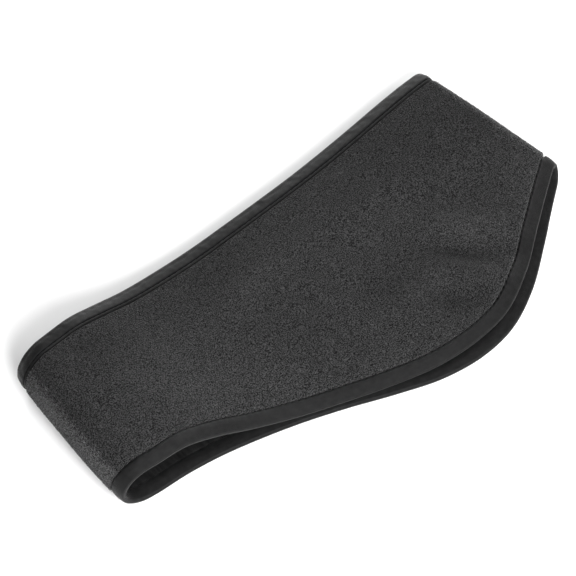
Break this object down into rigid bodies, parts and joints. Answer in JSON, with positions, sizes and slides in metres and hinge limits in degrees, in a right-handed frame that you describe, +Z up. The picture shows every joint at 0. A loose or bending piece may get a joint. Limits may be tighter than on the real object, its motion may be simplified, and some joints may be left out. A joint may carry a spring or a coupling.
{
  "type": "ear warmer headband",
  "caption": "Closed fleece headband, deeper over the ears, with a stretch tape folded over both edges, lying flattened as a soft loop.",
  "frame": {"origin": "bottom centre of the whole as it lies, on the surface that it rests on", "axes": "+X runs along the flattened loop from the front fold to the back fold, +Y across the band towards its upper edge, +Z up off the surface"},
  "size_m": [0.25, 0.123, 0.0306],
  "materials": {
    "fleece": "brushed polar fleece, matt and fuzzy, charcoal",
    "binding_tape": "smooth stretch knit tape, slightly satin, near black"
  },
  "bodies": {
    "root": {"fleece_band": "fleece", "top_binding": "binding_tape", "bottom_binding": "binding_tape"}
  },
  "joints": []
}
